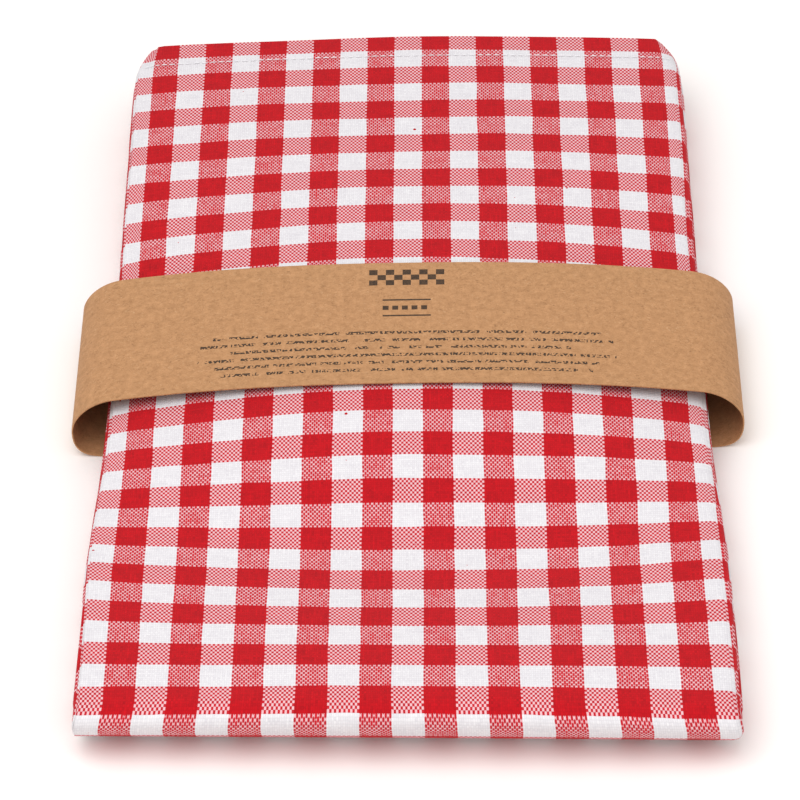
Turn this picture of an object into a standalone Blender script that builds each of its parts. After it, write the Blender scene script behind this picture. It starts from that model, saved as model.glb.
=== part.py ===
"""Folded gingham tablecloth in a paper belly band, in metres.

The cloth lies flat with its closed fold towards -Y and its two hems towards +Y.
X is across the pack, Z is up, and the origin is at the middle of the base.
Everything soft is shaped by one function, pack_point, from a plain block:
x across, y back from the front fold, and a level from 0 (base) to 1 (top).
"""

import math

import bmesh
import bpy
from mathutils import Vector
from mathutils.geometry import interpolate_bezier

# Overall sizes of the folded cloth
PACK_WIDTH = 0.205
PACK_LENGTH = 0.350
FRONT_HEIGHT = 0.0235
MIDDLE_HEIGHT = 0.0283
LEAVES = 4

# How the top of the pack rises, dips and drops to its shoulders
RISE_FROM = 0.080
RISE_TO = 0.160
DIP_DEPTH = 0.0034
DIP_PLACE = 0.078
DIP_REACH = 0.036
SHOULDER_DROP_ENDS = 0.0012
SHOULDER_DROP_BAND = 0.0070
SHOULDER_REACH = 0.100
SHOULDER_POWER = 3.0
SIDE_TUCK = 0.02

# Front fold and rear fold
FRONT_FOLD_DEPTH = 0.0115
UNDERCUT = 0.0060
UNDERCUT_REACH = 0.060
TIP_FORWARD = 0.0018
REAR_FOLD_DEPTH = 0.0060
REAR_FOLD_INSET = 0.010
FOLD_CORE = 0.10
STEP_DOWN = 0.014
LEAF_ROUND = 0.0020

# Hems, thread and care label
HEM_WIDTH = 0.0135
THREAD_WIDTH = 0.0007
THREAD_HEIGHT = 0.0004
THREAD_INSET = 0.0120
LABEL_WIDTH = 0.022
LABEL_DROP = 0.012
LABEL_THICKNESS = 0.0003
LABEL_PLACE = -0.070

# Belly band
BAND_LENGTH = 0.064
BAND_FRONT = 0.153
BAND_WALL = 0.0004
BAND_SHOULDER_DROP = 0.0058
BAND_TOP_POWER = 2.5
BAND_SHOULDER_PULL = 0.0075
BAND_BULGE_LEVEL = 0.44
BAND_BULGE_RISE = 0.25
BAND_BULGE_FALL = 0.36
BAND_UNDER_OUT = 0.001
BAND_UNDER_PULL = 0.009
BAND_LAP = 0.010
BAND_LAP_STEP = 0.012
GLUE_THICKNESS = 0.0001
GLUE_MARGIN = 0.004

# Clearances
GAP = 0.0003
GLUE_GAP = 0.00001
BAND_TOP_GAP = 0.0006
BAND_SIDE_GAP = 0.0075
BAND_SHOULDER_INSET = 0.0065
FLAP_BEHIND_BAND = 0.014
HINGE_LIFT = 0.0005

# How finely the surfaces are divided
CELLS_ACROSS = 10
CELL_LENGTH = 0.0135
FOLD_CELLS = 10
THREAD_CELLS = 16
BAND_TOP_STEPS = 38
BAND_SIDE_POINTS = 9

# Values that follow
BAND_BACK = BAND_FRONT + BAND_LENGTH
HINGE_Y = BAND_BACK + FLAP_BEHIND_BAND
LAP_HEIGHT = 2 * BAND_WALL + GLUE_THICKNESS
PATH_CLEAR = LAP_HEIGHT + GAP
HALF_WIDTH = PACK_WIDTH / 2
BAND_HALF_WIDTH = HALF_WIDTH + BAND_SIDE_GAP
BAND_SHOULDER_X = HALF_WIDTH - BAND_SHOULDER_INSET
LEAVES_FROM = FRONT_FOLD_DEPTH
REAR_FOLD_FROM = PACK_LENGTH - REAR_FOLD_INSET - REAR_FOLD_DEPTH
HEM_FROM = PACK_LENGTH - HEM_WIDTH
MIDDLE_Y = (PACK_LENGTH + GAP + LABEL_THICKNESS) / 2
LEAF_LEVEL = 1 / LEAVES


def smooth(start, end, value):
    t = min(max((value - start) / (end - start), 0.0), 1.0)
    return t * t * (3 - 2 * t)


def top_line(y):
    """Height of the pack along its middle."""
    rise = (MIDDLE_HEIGHT - FRONT_HEIGHT) * smooth(RISE_FROM, RISE_TO, y)
    dip = DIP_DEPTH * math.exp(-(((y - DIP_PLACE) / DIP_REACH) ** 2))
    return FRONT_HEIGHT + rise - dip


def top_height(x, y):
    """Height of the pack anywhere, lower at its two shoulders."""
    middle = BAND_FRONT + BAND_LENGTH / 2
    extra = SHOULDER_DROP_BAND * math.exp(-(((y - middle) / SHOULDER_REACH) ** 2))
    across = min(abs(x) / HALF_WIDTH, 1.0) ** SHOULDER_POWER
    return top_line(y) - (SHOULDER_DROP_ENDS + extra) * across


def base_height(y):
    """The base stands clear of the band's path, and rests on the table behind it."""
    return PATH_CLEAR * (1 - smooth(HINGE_Y, HINGE_Y + STEP_DOWN, y))


def pack_point(x, y, level, lift=0.0):
    """A point of the plain block, moved to its place in the pack."""
    base = base_height(y)
    z = base + level * (top_height(x, y) - base) + lift
    near_front = 1 - smooth(0.0, UNDERCUT_REACH, y)
    back = y + (UNDERCUT * (1 - level) ** 1.5 - TIP_FORWARD) * near_front
    side = 1 - SIDE_TUCK * (2 * level - 1) ** 2
    return Vector((x * side, back - MIDDLE_Y, z))


def material(name, colour, roughness):
    made = bpy.data.materials.new(name)
    made.use_nodes = True
    surface = made.node_tree.nodes["Principled BSDF"]
    surface.inputs["Base Color"].default_value = (*colour, 1.0)
    surface.inputs["Roughness"].default_value = roughness
    return made


def add_object(name, bm, finish, parent=None):
    """Turn a bmesh into a named, smooth-shaded part of the collection."""
    bmesh.ops.recalc_face_normals(bm, faces=bm.faces)
    if bm.calc_volume(signed=True) < 0:
        bmesh.ops.reverse_faces(bm, faces=bm.faces)
    mesh = bpy.data.meshes.new(name)
    bm.to_mesh(mesh)
    bm.free()
    mesh.materials.append(finish)
    mesh.shade_smooth()
    mesh.set_sharp_from_angle(angle=math.radians(40))
    part = bpy.data.objects.new(name, mesh)
    if parent is not None:
        part.parent = parent
        mesh.transform(parent.matrix_world.inverted())
    parts.objects.link(part)
    return part


def add_axis(name, place, parent=None):
    """An empty on a joint's axis, which carries the pieces that move."""
    axis = bpy.data.objects.new(name, None)
    axis.location = place
    if parent is not None:
        axis.parent = parent
        axis.location = Vector(place) - parent.matrix_world.translation
    parts.objects.link(axis)
    bpy.context.view_layer.update()
    return axis


def two_skins(across, along, place):
    """A grid and its extruded copy, each point put at place(u, v, skin)."""
    bm = bmesh.new()
    bmesh.ops.create_grid(bm, x_segments=across, y_segments=along, size=0.5)
    made = bmesh.ops.extrude_face_region(bm, geom=bm.faces[:])
    outer = {v for v in made["geom"] if isinstance(v, bmesh.types.BMVert)}
    for v in bm.verts:
        v.co = place(v.co.x + 0.5, v.co.y + 0.5, 1 if v in outer else 0)
    return bm


def round_rim(part):
    rim = part.modifiers.new("round_rim", "BEVEL")
    rim.width = LEAF_ROUND
    rim.segments = 2
    rim.limit_method = "ANGLE"
    rim.angle_limit = math.radians(60)


def add_leaf(name, leaf, start, end, finish, parent=None):
    """A flat stretch of leaf number leaf, counted up from the table."""
    along = max(1, round((end - start) / CELL_LENGTH))

    def place(u, v, skin):
        x = (u - 0.5) * PACK_WIDTH
        y = start + v * (end - start)
        lift = -GAP / 2 if skin else GAP / 2
        lift = 0.0 if skin == 0 and leaf == 0 else lift
        return pack_point(x, y, (leaf + skin) * LEAF_LEVEL, lift)
    part = add_object(name, two_skins(CELLS_ACROSS, along, place), finish, parent)
    round_rim(part)
    return part


def add_fold(name, centre_y, depth, middle, inner, outer, finish):
    """A fold that turns half round, from one leaf to another.

    Levels run from middle - outer to middle + outer. A negative depth turns
    towards the front, a positive one towards the back.
    """
    def place(u, v, skin):
        x = (u - 0.5) * PACK_WIDTH
        turn = (v - 0.5) * math.pi
        reach = outer if skin else inner
        level = middle + reach * math.sin(turn)
        y = centre_y + depth * (reach / outer) * math.cos(turn)
        lift = (-GAP / 2 if skin else GAP / 2) * math.sin(turn)
        if skin and turn < 0 and middle - outer <= 0:
            lift = 0.0
        return pack_point(x, y, level, lift)
    return add_object(name, two_skins(CELLS_ACROSS, FOLD_CELLS, place), finish)


def add_front_folds(finish):
    centre = LEAVES_FROM - GAP
    add_fold("outer_front_fold", centre, GAP - FRONT_FOLD_DEPTH, 0.5,
             LEAF_LEVEL, 2 * LEAF_LEVEL, finish)
    add_fold("inner_front_fold", centre, GAP - FRONT_FOLD_DEPTH / 2, 0.5,
             FOLD_CORE * LEAF_LEVEL, LEAF_LEVEL, finish)


def add_rear_fold(finish):
    add_fold("rear_fold", REAR_FOLD_FROM + GAP, REAR_FOLD_DEPTH, LEAF_LEVEL,
             FOLD_CORE * LEAF_LEVEL, LEAF_LEVEL, finish)


def add_leaves(finish, second_axis, top_axis):
    add_leaf("bottom_leaf", 0, LEAVES_FROM, REAR_FOLD_FROM, finish)
    add_leaf("third_leaf", 1, LEAVES_FROM, REAR_FOLD_FROM, finish)
    ends = (("second", 2, second_axis), ("top", 3, top_axis))
    for name, leaf, axis in ends:
        add_leaf(name + "_leaf", leaf, LEAVES_FROM, HINGE_Y - GAP / 2, finish)
        add_leaf(name + "_flap", leaf, HINGE_Y + GAP / 2, HEM_FROM - GAP, finish, axis)
        add_leaf(name + "_hem", leaf, HEM_FROM, PACK_LENGTH, finish, axis)


def add_hem_thread(finish, axis):
    """The seam that holds the hem, a raised line along the top of the cloth."""
    reach = HALF_WIDTH - LEAF_ROUND
    line = PACK_LENGTH - THREAD_INSET

    def place(u, v, skin):
        x = (2 * u - 1) * reach
        y = line + (v - 0.5) * THREAD_WIDTH
        return pack_point(x, y, 1.0, GAP + skin * THREAD_HEIGHT)
    add_object("hem_thread", two_skins(THREAD_CELLS, 1, place), finish, axis)


def add_care_label(finish, axis):
    """A blank care label that hangs from the top hem behind the pack."""
    top = top_height(LABEL_PLACE, PACK_LENGTH) - LEAF_ROUND
    bm = bmesh.new()
    bmesh.ops.create_cube(bm, size=1.0)
    bmesh.ops.scale(bm, vec=(LABEL_WIDTH, LABEL_THICKNESS, LABEL_DROP), verts=bm.verts)
    back = PACK_LENGTH - MIDDLE_Y + GAP + LABEL_THICKNESS / 2
    bmesh.ops.translate(bm, vec=(LABEL_PLACE, back, top - LABEL_DROP / 2), verts=bm.verts)
    add_object("care_label", bm, finish, axis)


def band_crown():
    """Height of the middle of the card above the table, at its inner face."""
    return MIDDLE_HEIGHT + BAND_TOP_GAP


def band_top(x):
    drop = BAND_SHOULDER_DROP * (abs(x) / BAND_SHOULDER_X) ** BAND_TOP_POWER
    return band_crown() + BAND_WALL / 2 - drop


def band_side(side):
    """One end of the loop, from the shoulder out, round and under, as (x, z)."""
    slope = BAND_SHOULDER_DROP * BAND_TOP_POWER / BAND_SHOULDER_X
    high = band_top(BAND_SHOULDER_X)
    shoulder = Vector((BAND_SHOULDER_X, 0, high))
    bulge = Vector((BAND_HALF_WIDTH - BAND_WALL / 2, 0, BAND_BULGE_LEVEL * high))
    under = Vector((BAND_SHOULDER_X + BAND_UNDER_OUT, 0, BAND_WALL / 2))
    out = Vector((1, 0, -slope)) * BAND_SHOULDER_PULL
    rise = Vector((0, 0, BAND_BULGE_RISE * high))
    fall = Vector((0, 0, BAND_BULGE_FALL * high))
    pull = Vector((BAND_UNDER_PULL, 0, 0))
    upper = interpolate_bezier(shoulder, shoulder + out, bulge + rise, bulge,
                               BAND_SIDE_POINTS)
    lower = interpolate_bezier(bulge, bulge - fall, under + pull, under,
                               BAND_SIDE_POINTS)
    return [(side * p.x, p.z) for p in upper + lower[1:]]


def band_path():
    """The card's middle line: lap, left end, top, right end and back to the lap."""
    low = BAND_WALL / 2
    lap = low + BAND_WALL + GLUE_THICKNESS
    step = 2 * BAND_SHOULDER_X / (BAND_TOP_STEPS + 2)
    top = [k * step - BAND_SHOULDER_X for k in range(1, BAND_TOP_STEPS + 2)]
    path = [(BAND_LAP, lap), (-BAND_LAP, lap), (-BAND_LAP - BAND_LAP_STEP, low)]
    path += reversed(band_side(-1))
    path += [(x, band_top(x)) for x in top]
    path += band_side(1)
    path += [(BAND_LAP, low), (-BAND_LAP, low)]
    return path


def add_band(finish, axis):
    bm = bmesh.new()
    front = BAND_FRONT - MIDDLE_Y
    line = [bm.verts.new((x, front, z)) for x, z in band_path()]
    edges = [bm.edges.new(pair) for pair in zip(line, line[1:])]
    made = bmesh.ops.extrude_edge_only(bm, edges=edges)
    moved = [v for v in made["geom"] if isinstance(v, bmesh.types.BMVert)]
    bmesh.ops.translate(bm, vec=(0, BAND_LENGTH, 0), verts=moved)
    part = add_object("kraft_band", bm, finish, axis)
    wall = part.modifiers.new("card", "SOLIDIFY")
    wall.thickness = BAND_WALL
    wall.offset = 0.0
    return part


def add_band_glue(finish, axis):
    """The glue between the card's two lapped ends."""
    bm = bmesh.new()
    bmesh.ops.create_cube(bm, size=1.0)
    wide = 2 * BAND_LAP - GLUE_MARGIN
    long = BAND_LENGTH - 2 * GLUE_MARGIN
    thick = GLUE_THICKNESS - 2 * GLUE_GAP
    bmesh.ops.scale(bm, vec=(wide, long, thick), verts=bm.verts)
    middle = BAND_FRONT + BAND_LENGTH / 2 - MIDDLE_Y
    height = BAND_WALL + GLUE_THICKNESS / 2
    bmesh.ops.translate(bm, vec=(0, middle, height), verts=bm.verts)
    add_object("band_glue", bm, finish, axis)


for old in list(bpy.data.objects):
    bpy.data.objects.remove(old, do_unlink=True)

parts = bpy.data.collections.new("folded_tablecloth")
bpy.context.scene.collection.children.link(parts)

cotton = material("red_gingham_cotton", (0.56, 0.07, 0.08), 0.90)
thread = material("white_thread", (0.86, 0.85, 0.86), 0.80)
satin = material("white_label_tape", (0.88, 0.88, 0.87), 0.55)
kraft = material("brown_kraft_card", (0.52, 0.31, 0.17), 0.85)
glue = material("clear_glue", (0.75, 0.68, 0.50), 0.30)

hinge = (0.0, HINGE_Y - MIDDLE_Y, top_line(HINGE_Y) + HINGE_LIFT)
second_axis = add_axis("second_flap_axis", hinge)
top_axis = add_axis("top_flap_axis", hinge, second_axis)
band_axis = add_axis("band_axis", (0.0, BAND_FRONT - MIDDLE_Y, 0.0))

add_front_folds(cotton)
add_leaves(cotton, second_axis, top_axis)
add_rear_fold(cotton)
add_hem_thread(thread, top_axis)
add_care_label(satin, top_axis)
add_band(kraft, band_axis)
add_band_glue(glue, band_axis)
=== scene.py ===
import math

import bmesh
import bpy
import numpy as np
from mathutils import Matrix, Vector
from mathutils.geometry import interpolate_bezier


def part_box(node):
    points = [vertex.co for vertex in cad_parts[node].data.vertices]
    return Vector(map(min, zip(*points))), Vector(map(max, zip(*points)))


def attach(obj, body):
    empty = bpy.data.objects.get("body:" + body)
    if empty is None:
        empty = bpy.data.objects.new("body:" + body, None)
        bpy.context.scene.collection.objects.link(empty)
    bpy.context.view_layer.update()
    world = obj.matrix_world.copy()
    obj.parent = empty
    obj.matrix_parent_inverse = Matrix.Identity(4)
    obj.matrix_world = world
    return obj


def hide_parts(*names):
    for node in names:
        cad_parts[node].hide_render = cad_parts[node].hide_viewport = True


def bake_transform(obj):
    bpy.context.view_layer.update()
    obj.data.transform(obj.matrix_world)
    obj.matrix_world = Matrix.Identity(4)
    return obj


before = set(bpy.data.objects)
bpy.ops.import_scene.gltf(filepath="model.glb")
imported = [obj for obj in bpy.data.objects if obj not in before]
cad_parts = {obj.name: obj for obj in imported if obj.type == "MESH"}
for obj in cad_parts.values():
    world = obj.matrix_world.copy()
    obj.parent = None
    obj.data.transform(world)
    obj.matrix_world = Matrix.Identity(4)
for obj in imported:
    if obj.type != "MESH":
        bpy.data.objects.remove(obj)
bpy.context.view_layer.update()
print("frame loaded")

mm = 0.001


# small helpers

def linearColour(hexColour):
    # an sRGB hex value turned to the linear numbers a shader takes
    channels = [int(hexColour[i:i + 2], 16) / 255 for i in (1, 3, 5)]
    linear = [c / 12.92 if c <= 0.04045 else ((c + 0.055) / 1.055) ** 2.4 for c in channels]
    return (*linear, 1.0)


def node(tree, kind, settings=None, links=None):
    # adds one node: settings go to its properties or sockets, links come from other sockets
    made = tree.nodes.new(kind)
    for key, value in (settings or {}).items():
        if isinstance(key, str) and hasattr(made, key):
            setattr(made, key, value)
        else:
            made.inputs[key].default_value = value
    for key, source in (links or {}).items():
        tree.links.new(source, made.inputs[key])
    return made


def newMaterial(name):
    made = bpy.data.materials.new(name)
    made.use_nodes = True
    tree = made.node_tree
    tree.nodes.clear()
    return made, tree


def maths(tree, operation, first, second=None, third=None):
    # one arithmetic step on sockets or plain numbers
    settings, links = {"operation": operation}, {}
    for slotNumber, value in enumerate((first, second, third)):
        if value is None:
            continue
        if isinstance(value, (int, float)):
            settings[slotNumber] = value
        else:
            links[slotNumber] = value
    return node(tree, "ShaderNodeMath", settings, links).outputs[0]


def mixColour(tree, amount, first, second):
    settings, links = {"data_type": "RGBA"}, {}
    for slotNumber, value in ((0, amount), (6, first), (7, second)):
        if isinstance(value, (int, float, tuple)):
            settings[slotNumber] = value
        else:
            links[slotNumber] = value
    return node(tree, "ShaderNodeMix", settings, links).outputs[2]


def smooth(start, end, value):
    t = min(max((value - start) / (end - start), 0.0), 1.0)
    return t * t * (3 - 2 * t)


def meshObject(name, vertices, faces, material, uv=None, uvName="weaveMap"):
    mesh = bpy.data.meshes.new(name)
    mesh.from_pydata([tuple(v) for v in vertices], [], faces)
    if uv is not None:
        layer = mesh.uv_layers.new(name=uvName)
        loops = np.empty(len(mesh.loops), np.int32)
        mesh.loops.foreach_get("vertex_index", loops)
        layer.data.foreach_set("uv", np.asarray(uv, np.float32)[loops].ravel())
    mesh.materials.append(material)
    mesh.shade_smooth()
    made = bpy.data.objects.new(name, mesh)
    bpy.context.scene.collection.objects.link(made)
    return made


def thicken(piece, thickness, offset=0.0):
    # gives a sheet its real thickness, with crisp cut edges and smooth faces
    wall = piece.modifiers.new("thickness", "SOLIDIFY")
    wall.thickness = thickness
    wall.offset = offset
    bpy.context.view_layer.update()
    solid = bpy.data.meshes.new_from_object(
        piece.evaluated_get(bpy.context.evaluated_depsgraph_get()))
    piece.modifiers.clear()
    old = piece.data
    piece.data = solid
    bpy.data.meshes.remove(old)
    solid.name = piece.name
    solid.shade_smooth()
    solid.set_sharp_from_angle(angle=math.radians(55))
    return piece


def gridFaces(columns, rows):
    # quads of a grid whose points run across first
    return [(r * columns + c, r * columns + c + 1, (r + 1) * columns + c + 1, (r + 1) * columns + c)
            for r in range(rows - 1) for c in range(columns - 1)]


# camera

cameraSet = {"azimuth": 1.085, "elevation": 38.87, "roll": -1.544, "distance": 1.765,
             "fieldOfView": 8.608, "target": (-0.0028, 0.0050, 0.0)}


def makeCamera():
    data = bpy.data.cameras.new("camera")
    data.sensor_fit = "HORIZONTAL"
    data.angle = math.radians(cameraSet["fieldOfView"])
    data.clip_start, data.clip_end = 0.05, 20
    cam = bpy.data.objects.new("camera", data)
    bpy.context.scene.collection.objects.link(cam)
    a, e = math.radians(cameraSet["azimuth"]), math.radians(cameraSet["elevation"])
    back = Vector((math.sin(a) * math.cos(e), -math.cos(a) * math.cos(e), math.sin(e)))
    cam.location = Vector(cameraSet["target"]) + back * cameraSet["distance"]
    turned = (-back).to_track_quat("-Z", "Y").to_matrix()
    right, up = turned.col[0], turned.col[1]
    c, s = math.cos(math.radians(cameraSet["roll"])), math.sin(math.radians(cameraSet["roll"]))
    basis = turned.copy()
    basis.col[0] = right * c + up * s
    basis.col[1] = up * c - right * s
    cam.rotation_mode = "QUATERNION"
    cam.rotation_quaternion = basis.to_quaternion()
    bpy.context.scene.camera = cam


makeCamera()
print("camera placed")


# the pack's own shape, in metres: the CAD solids' rule, with the small unevenness of a pack
# folded by hand added (a taper, a skewed front, a dip along its middle, rounded back corners)

pack = {"width": 0.205, "length": 0.350, "frontHeight": 0.0235, "middleHeight": 0.0283,
        "riseFrom": 0.080, "riseTo": 0.160, "dipDepth": 0.0056, "dipPlace": 0.078,
        "dipReach": 0.036, "dropEnds": 0.0027, "dropBand": 0.0086, "shoulderReach": 0.084,
        "shoulderPower": 1.9, "foldDepth": 0.0115, "undercut": 0.0125, "undercutReach": 0.060,
        "tipForward": 0.0018, "rearFoldDepth": 0.0060, "rearInset": 0.010,
        "pathClear": 0.0012, "stepDown": 0.014, "bandFront": 0.153, "bandLength": 0.064,
        "flapBehindBand": 0.014, "cornerDrop": 0.0014, "cornerWidth": 0.010,
        "cornerLength": 0.022, "cornerInset": 0.0040, "cornerFrom": 0.88, "edgeRoll": 0.0027,
        "edgeRollFrom": 0.070, "edgeRollTo": 0.150, "taper": 0.030,
        "sideTuck": 0.02, "bow": 0.004, "bowPlace": 0.060, "bowReach": 0.045,
        "skew": 0.030, "skewReach": 0.150}
halfWidth = pack["width"] / 2
bandBack = pack["bandFront"] + pack["bandLength"]
hingeY = bandBack + pack["flapBehindBand"]
middleY = pack["length"] / 2 + 0.0003
restFrom = pack["length"] - pack["rearInset"] - pack["rearFoldDepth"]


def topLine(y):
    rise = pack["middleHeight"] - pack["frontHeight"]
    return pack["frontHeight"] + rise * smooth(pack["riseFrom"], pack["riseTo"], y)


def topHeight(x, y):
    middle = pack["bandFront"] + pack["bandLength"] / 2
    extra = pack["dropBand"] * math.exp(-((y - middle) / pack["shoulderReach"]) ** 2)
    share = min(abs(x) / halfWidth, 1.0)
    across = share ** pack["shoulderPower"]
    dip = (1 - share ** 2) * pack["dipDepth"] * math.exp(
        -((y - pack["dipPlace"]) / pack["dipReach"]) ** 2)
    # the loose hemmed corners sag
    corner = (smooth(halfWidth - pack["cornerWidth"], halfWidth, abs(x))
              * smooth(pack["length"] - pack["cornerLength"], pack["length"], y))
    return topLine(y) - dip - (pack["dropEnds"] + extra) * across - pack["cornerDrop"] * corner


def baseHeight(y):
    return pack["pathClear"] * (1 - smooth(hingeY, hingeY + pack["stepDown"], y))


def packPoint(x, y, level):
    base = baseHeight(y)
    z = base + level * (topHeight(x, y) - base)
    nearFront = 1 - smooth(0.0, pack["undercutReach"], y)
    back = y + (pack["undercut"] * (1 - level) ** 1.5 - pack["tipForward"]) * nearFront
    share = min(abs(x) / halfWidth, 1.0)
    # the rows of checks bow back towards the sides, and the front fold was not laid quite square
    back += pack["bow"] * share ** 2 * math.exp(-((y - pack["bowPlace"]) / pack["bowReach"]) ** 2)
    back -= pack["skew"] * x * (1 - smooth(0.0, pack["skewReach"], y))
    towardsCorner = max(0.0, (y - pack["length"]) / pack["cornerLength"] + 1) ** 3
    # the folded sides roll under a little, more so behind the front third
    rolled = pack["edgeRoll"] * smooth(pack["edgeRollFrom"], pack["edgeRollTo"], y)
    inset = (pack["cornerInset"] * towardsCorner + rolled) * smooth(pack["cornerFrom"], 1.0, share)
    side = x * (1 - pack["taper"] * y / pack["length"])
    side *= 1 - pack["sideTuck"] * (2 * level - 1) ** 2
    return Vector((side - math.copysign(inset, x), back - middleY, z))


# the cloth: one sheet, folded to 8 plies across and 4 leaves deep

cloth = {"strips": 8, "flatCells": 32, "turnCells": 6, "rowLength": 4.8 * mm, "endRows": 0.6,
         "foldRows": {"outer": 18, "rear": 10, "inner": 8}, "thickness": 0.42 * mm,
         "turnDepth": 2.2 * mm, "nest": 0.5 * mm, "edgeWander": 0.35 * mm, "levelRim": 0.004,
         "noseEase": 2.6 * mm, "noseEaseTo": 0.55, "crease": 2.6, "relief": 0.22 * mm,
         "bandCalm": 0.9, "bandCalmReach": 0.045}
# where each strip of the sheet lies in a leaf, counted down from its outer side, when the
# sheet is folded in half three times
stripOrder = (0, 7, 4, 3, 2, 5, 6, 1)
# the bend zones, behind the hinge line; the top end curls over a longer stretch, because a
# tight bend would pull the checks out of shape on its underside
bend = {"lead": 12 * mm, "first": 4 * mm, "second": 18 * mm, "top": 30 * mm}


def stripDepth(strip):
    # 1 is the outer side of a leaf and 0 its inner side
    return 1 - (stripOrder[strip] + 0.5) / cloth["strips"]


def wander(value, seed):
    # a slow, seeded waviness for edges that were laid by hand
    return math.sin(value * 31 + seed * 1.7) * 0.6 + math.sin(value * 73 + seed * 4.1) * 0.4


def acrossPath():
    # (u along the sheet, x across the pack, depth, strip) from selvedge to selvedge
    points = []
    turn = cloth["turnDepth"]
    for strip in range(cloth["strips"]):
        sign = 1 if strip % 2 == 0 else -1
        depth = stripDepth(strip)
        # nested turns are shallower inside, so their flats run further out
        def reachAt(other):
            span = abs(stripDepth(other) - depth) / (1 - 1 / cloth["strips"])
            return turn * (0.25 + 0.75 * span)
        startTurn = reachAt(strip - 1) if strip > 0 else 0.0
        endTurn = reachAt(strip + 1) if strip < cloth["strips"] - 1 else 0.0
        inset = cloth["nest"] * (cloth["strips"] - 1 - stripOrder[strip]) / cloth["strips"]
        fromX = -sign * (halfWidth - startTurn - inset)
        toX = sign * (halfWidth - endTurn - inset)
        for cell in range(cloth["flatCells"] + 1):
            t = cell / cloth["flatCells"]
            # closer together towards the turns, where the corners curve
            t = 0.5 * t + 0.5 * (0.5 - 0.5 * math.cos(math.pi * t))
            x = fromX + (toX - fromX) * t
            points.append((strip * pack["width"] + halfWidth + sign * x, x, depth, strip))
        if endTurn:
            nextDepth = stripDepth(strip + 1)
            middle, radius = (depth + nextDepth) / 2, (depth - nextDepth) / 2
            for cell in range(1, cloth["turnCells"]):
                angle = math.pi * cell / cloth["turnCells"]
                x = toX + sign * endTurn * math.sin(angle)
                u = (strip + 1) * pack["width"] + endTurn * (2 * cell / cloth["turnCells"] - 1)
                points.append((u, x, middle + radius * math.cos(angle), strip))
    return points


def squared(value, power):
    # a rounded turn made a little squarer, as a pressed fold is
    return math.copysign(abs(value) ** (2 / power), value)


def leafPoint(leaf, y, depth):
    # each leaf holds the sheet one way up or the other
    level = {3: 0.75 + depth / 4, 0: 0.25 - depth / 4, 1: 0.25 + depth / 4,
             2: 0.75 - depth / 4}[leaf]
    return y, level


def foldPoint(kind, t, depth):
    # t runs 0 to 1 round a fold, in the order that the sheet runs
    angle = (0.5 - t) * math.pi
    if kind == "outer":  # from the top leaf down to the bottom one
        reach, half, middle, away = 0.25 + depth / 4, 0.5, 0.5, -pack["foldDepth"]
        centre = pack["foldDepth"]
    elif kind == "rear":  # from the bottom leaf up to the third
        reach, half, middle, away = depth / 4, 0.25, 0.25, pack["rearFoldDepth"]
        centre, angle = restFrom, -angle
    else:  # from the third leaf up to the second
        reach, half, middle, away = (1 - depth) / 4, 0.25, 0.5, -pack["foldDepth"] / 2
        centre, angle = pack["foldDepth"], -angle
    power = cloth["crease"]
    y = centre + away * (reach / half) * abs(squared(math.cos(angle), power))
    return y, middle + reach * squared(math.sin(angle), power)


def alongPath():
    # stations down the sheet, from the top leaf's hem to the second leaf's
    stations = []

    def flat(leaf, start, end):
        steps = max(2, round(abs(end - start) / cloth["rowLength"]))
        for k in range(steps + 1):
            stations.append(("leaf", leaf, start + (end - start) * k / steps))

    def fold(kind):
        steps = cloth["foldRows"][kind]
        for k in range(1, steps):
            stations.append(("fold", kind, k / steps))

    flat(3, hingeY - bend["lead"], pack["foldDepth"])
    fold("outer")
    flat(0, pack["foldDepth"], restFrom)
    fold("rear")
    flat(1, restFrom, pack["foldDepth"])
    fold("inner")
    flat(2, pack["foldDepth"], hingeY)
    return stations


def stationPoint(station, depth):
    kind, which, value = station
    return leafPoint(which, value, depth) if kind == "leaf" else foldPoint(which, value, depth)


def relief(u, v, station, strip):
    # gentle rise and fall of loose plies, strongest on the top leaf away from the band
    if station[0] != "leaf":
        return 0.0
    y = station[2]
    calm = math.exp(-((y - (pack["bandFront"] + bandBack) / 2) / cloth["bandCalmReach"]) ** 2)
    wave = (math.sin(u * 41 + v * 17 + strip) * math.sin(v * 33 - u * 9)
            + 0.5 * math.sin(u * 77 - v * 51 + strip * 2))
    return cloth["relief"] * wave * (1 - cloth["bandCalm"] * calm)


def rowPoints(station, v):
    rows = []
    for u, x, depth, strip in acrossPoints:
        y, level = stationPoint(station, depth)
        seed = strip + 3 * (station[1] if station[0] == "leaf" else 0)
        edge = wander(y, seed) * cloth["edgeWander"]
        level = cloth["levelRim"] + level * (1 - 2 * cloth["levelRim"])
        point = packPoint(x + edge * smooth(0.6 * halfWidth, halfWidth, abs(x)), y, level)
        point.z += relief(u, v, station, strip)
        rows.append(point)
    return rows


acrossPoints = acrossPath()


def stationLengths(stations, startV):
    # the real length along the outer ply gives each station its place on the sheet
    spot = [packPoint(0.0, *stationPoint(s, 1.0 - 0.5 / cloth["strips"])) for s in stations]
    lengths = [startV]
    for a, b in zip(spot, spot[1:]):
        lengths.append(lengths[-1] + (b - a).length)
    # the outer fold is drawn tight, so the weave gives a little round it
    tight, eased = 0.0, []
    for station, v in zip(stations, lengths):
        if station[:2] == ("fold", "outer"):
            tight = cloth["noseEase"] * smooth(0.0, cloth["noseEaseTo"], station[2])
        eased.append(v - tight)
    return eased


def buildCloth(name, stations, lengths, material):
    vertices, uv = [], []
    for station, v in zip(stations, lengths):
        row = rowPoints(station, v)
        vertices += row
        uv += [(point[0], v) for point in acrossPoints]
    faces = gridFaces(len(acrossPoints), len(stations))
    if lengths[-1] < lengths[0]:
        faces = [face[::-1] for face in faces]
    return thicken(meshObject(name, vertices, faces, material, uv), cloth["thickness"])


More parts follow.
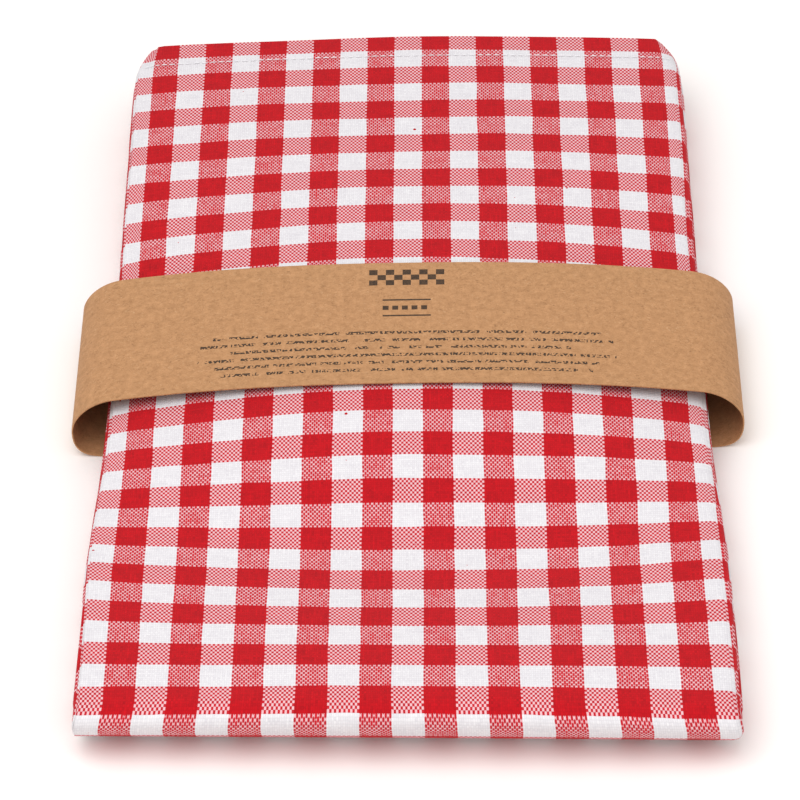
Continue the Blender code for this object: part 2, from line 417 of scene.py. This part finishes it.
def endStations(leaf, start, end):
    steps = max(2, round((end - start) / (cloth["rowLength"] * cloth["endRows"])))
    return [("leaf", leaf, start + (end - start) * k / steps) for k in range(steps + 1)]


# gingham: plain-woven cotton, dyed in the yarn, washed soft and pressed

# the real cloth has about 16 warp and 13 weft yarns in a square; they are drawn as 14 and
# 11, because finer ones blur to flat pink at the far end of the pack
gingham = {"checkSize": 10 * mm, "warpPitch": 10 * mm / 14, "weftPitch": 10 * mm / 11,
           "columnOffset": 12.5 * mm, "rowOffset": 2.5 * mm, "red": "#C20B18",
           "redDeep": "#A40B16", "white": "#E2DFE1", "whiteShade": "#D3CFD3",
           "whiteBesideRed": "#E3A2A8", "redBesideWhite": "#C93743", "warpSpread": 0.37,
           "weftSpread": 0.07, "spreadBase": -0.06, "floatBias": 0.55, "unevenYarn": 0.42,
           "dotSoftness": 0.10, "whiteTint": 0.72, "redTint": 0.30, "driftScale": 55.0,
           "drift": 0.9 * mm, "warpSlubScale": 170.0, "weftSlubScale": 150.0, "fluffScale": 480.0,
           "fluffFrom": 0.885, "gapShade": 0.90, "bumpStrength": 0.40, "bumpDepth": 0.12 * mm}


def stripeMask(tree, coordinate, offset, pitch):
    # 1 inside a dyed stripe, 0 in a white one, with the edge on a whole yarn
    wholeYarn = maths(tree, "FLOOR", maths(tree, "DIVIDE", coordinate, pitch))
    snapped = maths(tree, "MULTIPLY", wholeYarn, pitch)
    period = 2 * gingham["checkSize"]
    turned = maths(tree, "DIVIDE", maths(tree, "SUBTRACT", snapped, offset), period)
    away = maths(tree, "ABSOLUTE", maths(tree, "SUBTRACT", turned, maths(tree, "ROUND", turned)))
    return maths(tree, "LESS_THAN", away, 0.25)


def yarnNoise(tree, u, v, alongU, seed, scale):
    # noise drawn out along a yarn, so that slubs run with it
    pitch = gingham["weftPitch"] if alongU else gingham["warpPitch"]
    across = maths(tree, "FLOOR", maths(tree, "DIVIDE", v if alongU else u, pitch))
    run = maths(tree, "MULTIPLY", u if alongU else v, scale)
    place = node(tree, "ShaderNodeCombineXYZ", {2: seed},
                 {0: maths(tree, "MULTIPLY", across, 0.73), 1: run})
    return node(tree, "ShaderNodeTexNoise", {"Scale": 1.0, "Detail": 2.0, "Roughness": 0.6},
                {"Vector": place.outputs[0]}).outputs[0]


def makeGingham():
    # yarn-dyed plain weave: solid red, solid white and mixed squares where dots of both show
    made, tree = newMaterial("wovenYarnDyedCotton")
    uv = node(tree, "ShaderNodeUVMap", {"uv_map": "weaveMap"}).outputs[0]
    parts = node(tree, "ShaderNodeSeparateXYZ", links={0: uv})
    u, v = parts.outputs[0], parts.outputs[1]
    # yarns are never quite straight
    drift = node(tree, "ShaderNodeTexNoise", {"Scale": gingham["driftScale"], "Detail": 3.0},
                 {"Vector": uv}).outputs[0]
    shift = maths(tree, "MULTIPLY", maths(tree, "SUBTRACT", drift, 0.5), gingham["drift"])
    u, v = maths(tree, "ADD", u, shift), maths(tree, "SUBTRACT", v, shift)
    warpCell = maths(tree, "DIVIDE", u, gingham["warpPitch"])
    weftCell = maths(tree, "DIVIDE", v, gingham["weftPitch"])
    inWarp = maths(tree, "SUBTRACT", maths(tree, "FRACT", warpCell), 0.5)
    inWeft = maths(tree, "SUBTRACT", maths(tree, "FRACT", weftCell), 0.5)
    parity = maths(tree, "MODULO", maths(tree, "ABSOLUTE", maths(
        tree, "ADD", maths(tree, "FLOOR", warpCell), maths(tree, "FLOOR", weftCell))), 2.0)
    # warp floats are wider than weft floats, because the cloth has more warp ends
    sign = maths(tree, "SUBTRACT", maths(tree, "MULTIPLY", parity, 2.0), 1.0)
    bias = maths(tree, "SUBTRACT", maths(tree, "ABSOLUTE", inWeft), maths(tree, "ABSOLUTE", inWarp))
    over = maths(tree, "ADD", maths(tree, "MULTIPLY", sign, 0.5),
                 maths(tree, "MULTIPLY", bias, gingham["floatBias"]))
    warpRed = stripeMask(tree, u, gingham["columnOffset"], gingham["warpPitch"])
    weftRed = stripeMask(tree, v, gingham["rowOffset"], gingham["weftPitch"])
    # dyed yarns are fuller than bleached ones, so red covers more of a mixed square
    edge = maths(tree, "ADD", maths(tree, "MULTIPLY", weftRed, gingham["weftSpread"]), maths(
        tree, "MULTIPLY_ADD", warpRed, -gingham["warpSpread"], gingham["spreadBase"]))
    # yarns are uneven, so the dots vary in size and run in faint streaks
    warpSlub = yarnNoise(tree, u, v, False, 3.1, gingham["warpSlubScale"])
    weftSlub = yarnNoise(tree, u, v, True, 8.7, gingham["weftSlubScale"])
    uneven = maths(tree, "SUBTRACT", maths(tree, "MULTIPLY", warpSlub, 1.25), maths(
        tree, "MULTIPLY", weftSlub, 0.75))
    edge = maths(tree, "SUBTRACT", edge, maths(tree, "MULTIPLY", maths(
        tree, "SUBTRACT", uneven, 0.25), gingham["unevenYarn"]))
    soft = gingham["dotSoftness"]
    warpUp = node(tree, "ShaderNodeMapRange", {1: -soft, 2: soft},
                  {0: maths(tree, "SUBTRACT", over, edge)}).outputs[0]
    mixedSquare = maths(tree, "ABSOLUTE", maths(tree, "SUBTRACT", warpRed, weftRed))
    isRed = maths(tree, "ADD", maths(tree, "MULTIPLY", warpUp, warpRed), maths(
        tree, "MULTIPLY", maths(tree, "SUBTRACT", 1.0, warpUp), weftRed))
    slub = mixColour(tree, warpUp, weftSlub, warpSlub)
    dyeing = node(tree, "ShaderNodeMapRange", {1: 0.3, 2: 0.7}, {0: slub}).outputs[0]
    red = mixColour(tree, dyeing, linearColour(gingham["redDeep"]), linearColour(gingham["red"]))
    white = mixColour(tree, dyeing, linearColour(gingham["whiteShade"]),
                      linearColour(gingham["white"]))
    # red light passed between the yarns tints the white ones beside them
    white = mixColour(tree, maths(tree, "MULTIPLY", mixedSquare, gingham["whiteTint"]), white,
                      linearColour(gingham["whiteBesideRed"]))
    red = mixColour(tree, maths(tree, "MULTIPLY", mixedSquare, gingham["redTint"]), red,
                    linearColour(gingham["redBesideWhite"]))
    # now and then a speck of red fluff is spun into a white yarn
    fluff = node(tree, "ShaderNodeTexNoise", {"Scale": gingham["fluffScale"], "Detail": 0.0},
                 {"Vector": uv}).outputs[0]
    isRed = maths(tree, "MAXIMUM", isRed, maths(tree, "GREATER_THAN", fluff, gingham["fluffFrom"]))
    colour = mixColour(tree, isRed, white, red)
    # shade in the gaps between yarns
    crownWarp = maths(tree, "COSINE", maths(tree, "MULTIPLY", inWarp, math.pi))
    crownWeft = maths(tree, "COSINE", maths(tree, "MULTIPLY", inWeft, math.pi))
    crown = maths(tree, "MULTIPLY", crownWarp, crownWeft)
    gapShade = node(tree, "ShaderNodeMapRange", {1: 0.0, 2: 0.6, 3: gingham["gapShade"], 4: 1.0},
                    {0: crown}).outputs[0]
    shaded = node(tree, "ShaderNodeVectorMath", {"operation": "SCALE"},
                  {0: colour, 3: gapShade}).outputs[0]
    height = maths(tree, "ADD", crown, maths(tree, "MULTIPLY", slub, 0.7))
    bump = node(tree, "ShaderNodeBump", {"Strength": gingham["bumpStrength"],
                                         "Distance": gingham["bumpDepth"]}, {"Height": height})
    rough = node(tree, "ShaderNodeMapRange", {1: 0.0, 2: 1.0, 3: 0.95, 4: 0.82},
                 {0: slub}).outputs[0]
    surface = node(tree, "ShaderNodeBsdfPrincipled",
                   {"IOR": 1.46, "Specular IOR Level": 0.15, "Sheen Weight": 0.04,
                    "Sheen Roughness": 0.6},
                   {"Base Color": shaded, "Roughness": rough, "Normal": bump.outputs[0]})
    node(tree, "ShaderNodeOutputMaterial", links={0: surface.outputs[0]})
    return made


ginghamCotton = makeGingham()
mainStations = alongPath()
frontLength = pack["length"] - (hingeY - bend["lead"])
mainLengths = stationLengths(mainStations, frontLength)
clothMain = buildCloth("foldedCloth", mainStations, mainLengths, ginghamCotton)
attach(clothMain, "pack")
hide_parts("outer_front_fold", "inner_front_fold", "bottom_leaf", "third_leaf",
            "second_leaf", "top_leaf", "rear_fold")
print("cloth folded:", len(clothMain.data.polygons), "quads, sheet", round(mainLengths[-1], 3),
      "m so far")

secondEnd = endStations(2, hingeY, pack["length"])
secondLengths = [mainLengths[-1] + s[2] - hingeY for s in secondEnd]
clothSecond = buildCloth("secondHemmedEnd", secondEnd, secondLengths, ginghamCotton)
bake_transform(clothSecond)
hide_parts("second_flap", "second_hem")

topStart = endStations(3, hingeY - bend["lead"], hingeY + bend["first"])
topStartLengths = [pack["length"] - s[2] for s in topStart]
clothTopStart = buildCloth("topLeafBend", topStart, topStartLengths, ginghamCotton)
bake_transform(clothTopStart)

topEnd = endStations(3, hingeY + bend["first"], pack["length"])
topLengths = [pack["length"] - s[2] for s in topEnd]
clothTop = buildCloth("topHemmedEnd", topEnd, topLengths, ginghamCotton)
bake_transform(clothTop)
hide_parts("top_flap", "top_hem")
print("two hemmed ends built")


# hem stitches: spun polyester lockstitch, white, each stitch sunk at both ends

seam = {"inset": 12.0 * mm, "pitch": 3.0 * mm, "stitch": 2.3 * mm, "width": 0.42 * mm,
        "rise": 0.14 * mm, "sunk": 0.1 * mm, "hump": 0.12 * mm, "margin": 4 * mm,
        "rings": 7, "sides": 8, "white": "#F4F2F3", "whiteShade": "#D2CFD4"}


def makeThread():
    # a twisted thread shows fine slanting plies and a faint gloss; the grooves between the plies are
    # darkened with painted shade
    made, tree = newMaterial("spunPolyesterThread")
    place = node(tree, "ShaderNodeTexCoord").outputs["Object"]
    twist = node(tree, "ShaderNodeTexWave", {"Scale": 900.0, "Distortion": 1.5, "Detail": 1.0},
                 {"Vector": place}).outputs[1]
    # painted shade: the colour goes darker where the twist's bump is low, in the grooves between the
    # plies
    colour = mixColour(tree, twist, linearColour(seam["whiteShade"]), linearColour(seam["white"]))
    bump = node(tree, "ShaderNodeBump", {"Strength": 0.4, "Distance": 0.05 * mm}, {"Height": twist})
    surface = node(tree, "ShaderNodeBsdfPrincipled",
                   {"Roughness": 0.55, "IOR": 1.53, "Sheen Weight": 0.1},
                   {"Base Color": colour, "Normal": bump.outputs[0]})
    node(tree, "ShaderNodeOutputMaterial", links={0: surface.outputs[0]})
    return made


def buildStitches():
    # low humps of thread, one beside the other along the hem
    bm = bmesh.new()
    y = pack["length"] - seam["inset"]
    count = int((pack["width"] - seam["margin"]) / seam["pitch"])
    sides = seam["sides"]
    for k in range(count):
        middle = (k - (count - 1) / 2) * seam["pitch"]
        rings = []
        for j in range(seam["rings"]):
            t = j / (seam["rings"] - 1)
            x = middle + (t - 0.5) * seam["stitch"]
            swell = math.sin(math.pi * (0.08 + 0.84 * t))
            centre = packPoint(x, y, 1.0) + Vector((0, 0, cloth["thickness"] / 2 - seam["sunk"]))
            rings.append([bm.verts.new(centre + Vector((
                0, math.cos(a) * seam["width"] / 2 * swell ** 0.5,
                math.sin(a) * seam["rise"] * swell + seam["hump"] * swell)))
                for a in (2 * math.pi * i / sides for i in range(sides))])
        for a, b in zip(rings, rings[1:]):
            for i in range(sides):
                bm.faces.new((a[i], a[(i + 1) % sides], b[(i + 1) % sides], b[i]))
        bm.faces.new(rings[0][::-1])
        bm.faces.new(rings[-1])
    bmesh.ops.recalc_face_normals(bm, faces=bm.faces)
    mesh = bpy.data.meshes.new("hemStitches")
    bm.to_mesh(mesh)
    bm.free()
    mesh.materials.append(makeThread())
    mesh.shade_smooth()
    made = bpy.data.objects.new("hemStitches", mesh)
    bpy.context.scene.collection.objects.link(made)
    return made


hemStitches = buildStitches()
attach(hemStitches, "top_end")
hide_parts("hem_thread")
print("hem stitched")


# care label: woven satin tape, heat-cut, blank

label = {"thickness": 0.22 * mm, "curl": 0.9 * mm, "points": 13, "ribPitch": 0.35 * mm,
         "white": "#F1F0EC", "shade": "#D9D7D1"}


def makeSatin():
    # satin tape has fine close ribs along it and a soft silky gloss
    made, tree = newMaterial("wovenSatinTape")
    place = node(tree, "ShaderNodeTexCoord").outputs["Object"]
    parts = node(tree, "ShaderNodeSeparateXYZ", links={0: place})
    ribs = maths(tree, "SINE", maths(
        tree, "MULTIPLY", parts.outputs[0], 2 * math.pi / label["ribPitch"]))
    cloud = node(tree, "ShaderNodeTexNoise", {"Scale": 240.0, "Detail": 3.0},
                 {"Vector": place}).outputs[0]
    colour = mixColour(tree, cloud, linearColour(label["shade"]), linearColour(label["white"]))
    bump = node(tree, "ShaderNodeBump", {"Strength": 0.25, "Distance": 0.04 * mm}, {"Height": ribs})
    surface = node(tree, "ShaderNodeBsdfPrincipled",
                   {"Roughness": 0.38, "IOR": 1.54, "Sheen Weight": 0.15},
                   {"Base Color": colour, "Normal": bump.outputs[0]})
    node(tree, "ShaderNodeOutputMaterial", links={0: surface.outputs[0]})
    return made


def buildLabel():
    low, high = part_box("care_label")
    columns = rows = label["points"]
    vertices, uv = [], []
    for r in range(rows):
        t = r / (rows - 1)
        for c in range(columns):
            s = c / (columns - 1)
            curl = label["curl"] * t ** 2 * (0.6 + 0.4 * math.sin(s * math.pi))
            vertices.append((low.x + (high.x - low.x) * s, low.y + label["thickness"] + curl,
                             high.z - (high.z - low.z) * t))
            uv.append((s, t))
    made = meshObject("careLabel", vertices, gridFaces(columns, rows), makeSatin(), uv, "labelMap")
    return thicken(made, label["thickness"], -1.0)


careLabel = buildLabel()
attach(careLabel, "top_end")
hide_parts("care_label")
print("care label hung")


# belly band: unbleached kraft card, die-cut, printed one colour, glued to a loop

band = {"wall": 0.4 * mm, "halfWidth": halfWidth + 7.5 * mm, "shoulderX": halfWidth - 6.5 * mm,
        "taper": 0.008, "shoulderDrop": 5.5 * mm, "topPower": 2.4, "topGap": 0.6 * mm,
        "shoulderPull": 7.5 * mm, "bulgeLevel": 0.44, "bulgeRise": 0.25, "bulgeFall": 0.36,
        "underOut": 1 * mm,
        "underPull": 9 * mm, "lap": 10 * mm, "lapStep": 12 * mm, "glue": 0.1 * mm,
        "topSteps": 96, "underSteps": (12, 14), "sidePoints": 26, "rows": 17,
        "cloudScale": 380.0, "fibreScale": (620.0, 900.0, 1.0),
        "kraft": "#C08F64", "kraftDark": "#A1754E",
        "fibreLight": "#CBA47D", "fibreDark": "#6A4A32", "ink": "#221E1B"}


def bandTop(x):
    drop = band["shoulderDrop"] * (abs(x) / band["shoulderX"]) ** band["topPower"]
    return pack["middleHeight"] + band["topGap"] + band["wall"] / 2 - drop


def bandSide(side):
    slope = band["shoulderDrop"] * band["topPower"] / band["shoulderX"]
    high = bandTop(band["shoulderX"])
    shoulder = Vector((band["shoulderX"], 0, high))
    bulge = Vector((band["halfWidth"] - band["wall"] / 2, 0, band["bulgeLevel"] * high))
    under = Vector((band["shoulderX"] + band["underOut"], 0, band["wall"] / 2))
    out = Vector((1, 0, -slope)) * band["shoulderPull"]
    rise, fall = (Vector((0, 0, band[key] * high)) for key in ("bulgeRise", "bulgeFall"))
    pull = Vector((band["underPull"], 0, 0))
    upper = interpolate_bezier(shoulder, shoulder + out, bulge + rise, bulge, band["sidePoints"])
    lower = interpolate_bezier(bulge, bulge - fall, under + pull, under, band["sidePoints"])
    return [(side * p.x, p.z) for p in upper + lower[1:]]


def bandPath():
    low = band["wall"] / 2
    lapHeight = low + band["wall"] + band["glue"]
    reach = band["shoulderX"]
    steps = band["topSteps"]
    leftSteps, rightSteps = band["underSteps"]
    path = [(band["lap"], lapHeight), (0.0, lapHeight), (-band["lap"], lapHeight),
            (-band["lap"] - band["lapStep"] / 2, (low + lapHeight) / 2),
            (-band["lap"] - band["lapStep"], low)]
    run = -reach + band["underOut"]
    path += [(-band["lap"] - band["lapStep"] + (run + band["lap"] + band["lapStep"]) * k / leftSteps, low)
             for k in range(1, leftSteps)]
    path += reversed(bandSide(-1))
    path += [(-reach + 2 * reach * k / steps, bandTop(-reach + 2 * reach * k / steps))
             for k in range(1, steps)]
    path += bandSide(1)
    path += [(reach - (reach + band["lap"]) * k / rightSteps, low)
             for k in range(1, rightSteps + 1)]
    return path


def makeKraft():
    # unbleached card: warm brown with long pale and dark fibres, a matt calendered face,
    # and one flat dark ink that soaks in a little
    made, tree = newMaterial("unbleachedKraftCard")
    uv = node(tree, "ShaderNodeUVMap", {"uv_map": "cardMap"}).outputs[0]
    parts = node(tree, "ShaderNodeSeparateXYZ", links={0: uv})
    across, along = parts.outputs[0], parts.outputs[1]  # metres from the card's middle
    cloud = node(tree, "ShaderNodeTexNoise", {"Scale": band["cloudScale"], "Detail": 7.0,
                                              "Roughness": 0.78}, {"Vector": uv}).outputs[0]
    clumps = node(tree, "ShaderNodeMapRange", {1: 0.33, 2: 0.67}, {0: cloud}).outputs[0]
    base = mixColour(tree, clumps, linearColour(band["kraftDark"]), linearColour(band["kraft"]))
    stretched = node(tree, "ShaderNodeMapping", {"Scale": band["fibreScale"]}, {0: uv}).outputs[0]
    fibre = node(tree, "ShaderNodeTexNoise", {"Scale": 1.0, "Detail": 5.0, "Distortion": 2.4},
                 {"Vector": stretched}).outputs[0]
    pale = node(tree, "ShaderNodeMapRange", {1: 0.58, 2: 0.72, 3: 0.0, 4: 0.45},
                {0: fibre}).outputs[0]
    dark = node(tree, "ShaderNodeMapRange", {1: 0.42, 2: 0.30, 3: 0.0, 4: 0.45},
                {0: fibre}).outputs[0]
    base = mixColour(tree, pale, base, linearColour(band["fibreLight"]))
    base = mixColour(tree, dark, base, linearColour(band["fibreDark"]))
    ink = printMask(tree, across, along)
    soaked = maths(tree, "MULTIPLY", ink, node(
        tree, "ShaderNodeMapRange", {1: 0.35, 2: 0.65, 3: 0.80, 4: 0.97}, {0: fibre}).outputs[0])
    colour = mixColour(tree, soaked, base, linearColour(band["ink"]))
    rough = node(tree, "ShaderNodeMapRange", {1: 0.3, 2: 0.7, 3: 0.88, 4: 0.74},
                 {0: fibre}).outputs[0]
    bump = node(tree, "ShaderNodeBump", {"Strength": 0.35, "Distance": 0.06 * mm},
                {"Height": maths(tree, "ADD", fibre, cloud)})
    surface = node(tree, "ShaderNodeBsdfPrincipled", {"IOR": 1.48, "Specular IOR Level": 0.3},
                   {"Base Color": colour, "Roughness": rough, "Normal": bump.outputs[0]})
    node(tree, "ShaderNodeOutputMaterial", links={0: surface.outputs[0]})
    return made


def between(tree, value, low, high):
    return maths(tree, "MULTIPLY", maths(tree, "GREATER_THAN", value, low),
                 maths(tree, "LESS_THAN", value, high))


def both(tree, first, second):
    return maths(tree, "MULTIPLY", first, second)


def either(tree, first, second):
    return maths(tree, "MAXIMUM", first, second)


printed = {"emblemCell": 2.8 * mm, "emblemColumns": 9, "emblemRows": 3, "emblemPlace": 24.0 * mm,
           "ruleHalf": 8.0 * mm, "rulePlaces": (11.8 * mm, 3.4 * mm), "ruleWidth": 0.8 * mm,
           "barPlace": 7.6 * mm, "barHalf": 1.1 * mm, "barPitch": 3.2 * mm, "barShare": 0.62,
           "runScale": 260.0, "runFrom": 0.36, "strokeScale": (1250.0, 900.0), "strokeFrom": 0.49,
           "rowShift": 7.3, "rowTurn": 2.4, "lineHalf": 64 * mm, "lineVary": 6 * mm,
           "lineCount": 6, "lineFirst": -5.6 * mm, "linePitch": 3.9 * mm, "lineHeight": 1.5 * mm}


def printMask(tree, across, along):
    # a strip of small checks, two rules with bars between them and six lines of broken
    # strokes; there is no lettering
    cell = printed["emblemCell"]
    emblemWide, emblemTall = (cell * printed[key] / 2 for key in ("emblemColumns", "emblemRows"))
    column = maths(tree, "FLOOR", maths(tree, "DIVIDE", maths(
        tree, "ADD", across, emblemWide), cell))
    row = maths(tree, "FLOOR", maths(tree, "DIVIDE", maths(
        tree, "ADD", along, emblemTall - printed["emblemPlace"]), cell))
    chequer = maths(tree, "MODULO", maths(tree, "ABSOLUTE", maths(tree, "ADD", column, row)), 2.0)
    inside = both(tree, between(tree, across, -emblemWide, emblemWide),
                  between(tree, along, printed["emblemPlace"] - emblemTall,
                          printed["emblemPlace"] + emblemTall))
    mask = both(tree, inside, maths(tree, "LESS_THAN", chequer, 0.5))
    for place in printed["rulePlaces"]:
        ruleWidth = printed["ruleWidth"]
        rule = both(tree, between(tree, along, place - ruleWidth / 2, place + ruleWidth / 2),
                    between(tree, across, -printed["ruleHalf"], printed["ruleHalf"]))
        mask = either(tree, mask, rule)
    bars = maths(tree, "LESS_THAN", maths(tree, "FRACT", maths(
        tree, "DIVIDE", maths(tree, "ADD", across, printed["ruleHalf"]), printed["barPitch"])),
        printed["barShare"])
    bars = both(tree, bars, between(tree, across, -printed["ruleHalf"], printed["ruleHalf"]))
    mask = either(tree, mask, both(tree, bars, between(
        tree, along, printed["barPlace"] - printed["barHalf"],
        printed["barPlace"] + printed["barHalf"])))
    # the lines: runs of small uneven strokes with short gaps between them
    lineNumber = maths(tree, "ROUND", maths(tree, "DIVIDE", maths(
        tree, "SUBTRACT", printed["lineFirst"], along), printed["linePitch"]))
    offLine = maths(tree, "ABSOLUTE", maths(tree, "SUBTRACT", maths(
        tree, "SUBTRACT", printed["lineFirst"], along), maths(
        tree, "MULTIPLY", lineNumber, printed["linePitch"])))
    onLine = both(tree, maths(tree, "LESS_THAN", offLine, printed["lineHeight"] / 2),
                  between(tree, lineNumber, -0.5, printed["lineCount"] - 0.5))
    seat = node(tree, "ShaderNodeCombineXYZ", links={
        0: maths(tree, "MULTIPLY", across, printed["runScale"]),
        1: maths(tree, "MULTIPLY", lineNumber, printed["rowShift"])})
    runs = node(tree, "ShaderNodeTexNoise", {"Scale": 1.0, "Detail": 0.0},
                {"Vector": seat.outputs[0]}).outputs[0]
    fine = node(tree, "ShaderNodeCombineXYZ", links={
        0: maths(tree, "MULTIPLY", across, printed["strokeScale"][0]),
        1: maths(tree, "MULTIPLY", along, printed["strokeScale"][1])})
    broken = node(tree, "ShaderNodeTexNoise", {"Scale": 1.0, "Detail": 0.0},
                  {"Vector": fine.outputs[0]}).outputs[0]
    turned = maths(tree, "SINE", maths(tree, "MULTIPLY", lineNumber, printed["rowTurn"]))
    reach = maths(tree, "MULTIPLY_ADD", turned, printed["lineVary"], printed["lineHalf"])
    dashes = both(tree, maths(tree, "GREATER_THAN", runs, printed["runFrom"]),
                  maths(tree, "GREATER_THAN", broken, printed["strokeFrom"]))
    dashes = both(tree, dashes, both(tree, onLine, maths(
        tree, "LESS_THAN", maths(tree, "ABSOLUTE", across), reach)))
    return either(tree, mask, dashes)


def buildBand():
    path = bandPath()
    travelled = [0.0]
    for (ax, az), (bx, bz) in zip(path, path[1:]):
        travelled.append(travelled[-1] + math.hypot(bx - ax, bz - az))
    # the card's middle is where the path crosses the top at x = 0
    topIndex = max(range(len(path)), key=lambda i: path[i][1])
    vertices, uv = [], []
    front = pack["bandFront"] - middleY
    for r in range(band["rows"]):
        t = r / (band["rows"] - 1)
        for (x, z), far in zip(path, travelled):
            # the loop follows the pack's taper
            vertices.append((x * (1 - band["taper"] * t), front + t * pack["bandLength"], z))
            uv.append((far - travelled[topIndex], (t - 0.5) * pack["bandLength"]))
    made = meshObject("bellyBandCard", vertices, gridFaces(len(path), band["rows"]),
                      makeKraft(), uv, "cardMap")
    return thicken(made, band["wall"])


bellyBand = buildBand()
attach(bellyBand, "belly_band")
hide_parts("kraft_band")
print("belly band bent and printed")


# glue: hot-melt adhesive, pressed to a film

glueLook = {"amber": "#D9C48C", "pale": "#EBDDB4"}


def makeGlue():
    # pressed hot-melt is translucent amber with a smooth, slightly cloudy face
    made, tree = newMaterial("pressedHotMeltGlue")
    place = node(tree, "ShaderNodeTexCoord").outputs["Object"]
    cloud = node(tree, "ShaderNodeTexNoise", {"Scale": 300.0, "Detail": 3.0},
                 {"Vector": place}).outputs[0]
    colour = mixColour(tree, cloud, linearColour(glueLook["amber"]), linearColour(glueLook["pale"]))
    bump = node(tree, "ShaderNodeBump", {"Strength": 0.2, "Distance": 0.05 * mm}, {"Height": cloud})
    surface = node(tree, "ShaderNodeBsdfPrincipled", {"Roughness": 0.3, "IOR": 1.49},
                   {"Base Color": colour, "Normal": bump.outputs[0]})
    node(tree, "ShaderNodeOutputMaterial", links={0: surface.outputs[0]})
    return made


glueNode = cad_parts["band_glue"]
glueNode.data.materials.clear()
glueNode.data.materials.append(makeGlue())
print("glue finished")


# floor and light

studio = {"floor": "#F6F2EF", "floorSize": 6.0, "worldStrength": 0.74,
          "keySize": 1.6, "keyPower": 19.5, "keyPlace": (-0.44, -0.60, 1.58),
          "fillSize": 2.0, "fillPower": 5.5, "fillPlace": (0.9, -0.9, 1.1)}


def makeFloor():
    made, tree = newMaterial("paintedSweep")
    place = node(tree, "ShaderNodeTexCoord").outputs["Object"]
    cloud = node(tree, "ShaderNodeTexNoise", {"Scale": 3.0, "Detail": 2.0},
                 {"Vector": place}).outputs[0]
    rough = node(tree, "ShaderNodeMapRange", {1: 0.0, 2: 1.0, 3: 0.82, 4: 0.9},
                 {0: cloud}).outputs[0]
    surface = node(tree, "ShaderNodeBsdfPrincipled", {"Base Color": linearColour(studio["floor"])},
                   {"Roughness": rough})
    node(tree, "ShaderNodeOutputMaterial", links={0: surface.outputs[0]})
    half = studio["floorSize"] / 2
    corners = [(-half, -half, 0), (half, -half, 0), (half, half, 0), (-half, half, 0)]
    floor = meshObject("floor", corners, [(0, 1, 2, 3)], made)


def addSoftbox(name, size, power, place):
    data = bpy.data.lights.new(name, "AREA")
    data.shape, data.size, data.energy = "SQUARE", size, power
    lamp = bpy.data.objects.new(name, data)
    lamp.location = place
    lamp.rotation_mode = "QUATERNION"
    lamp.rotation_quaternion = (-Vector(place)).to_track_quat("-Z", "Y")
    bpy.context.scene.collection.objects.link(lamp)


makeFloor()
addSoftbox("keyLight", studio["keySize"], studio["keyPower"], studio["keyPlace"])
addSoftbox("fillLight", studio["fillSize"], studio["fillPower"], studio["fillPlace"])
world = bpy.data.worlds.new("studio")
bpy.context.scene.world = world
world.use_nodes = True
backdrop = world.node_tree.nodes["Background"]
backdrop.inputs[0].default_value = (1.0, 1.0, 1.0, 1.0)
backdrop.inputs[1].default_value = studio["worldStrength"]
bpy.context.scene.view_settings.view_transform = "Standard"
print("floor and lights set")
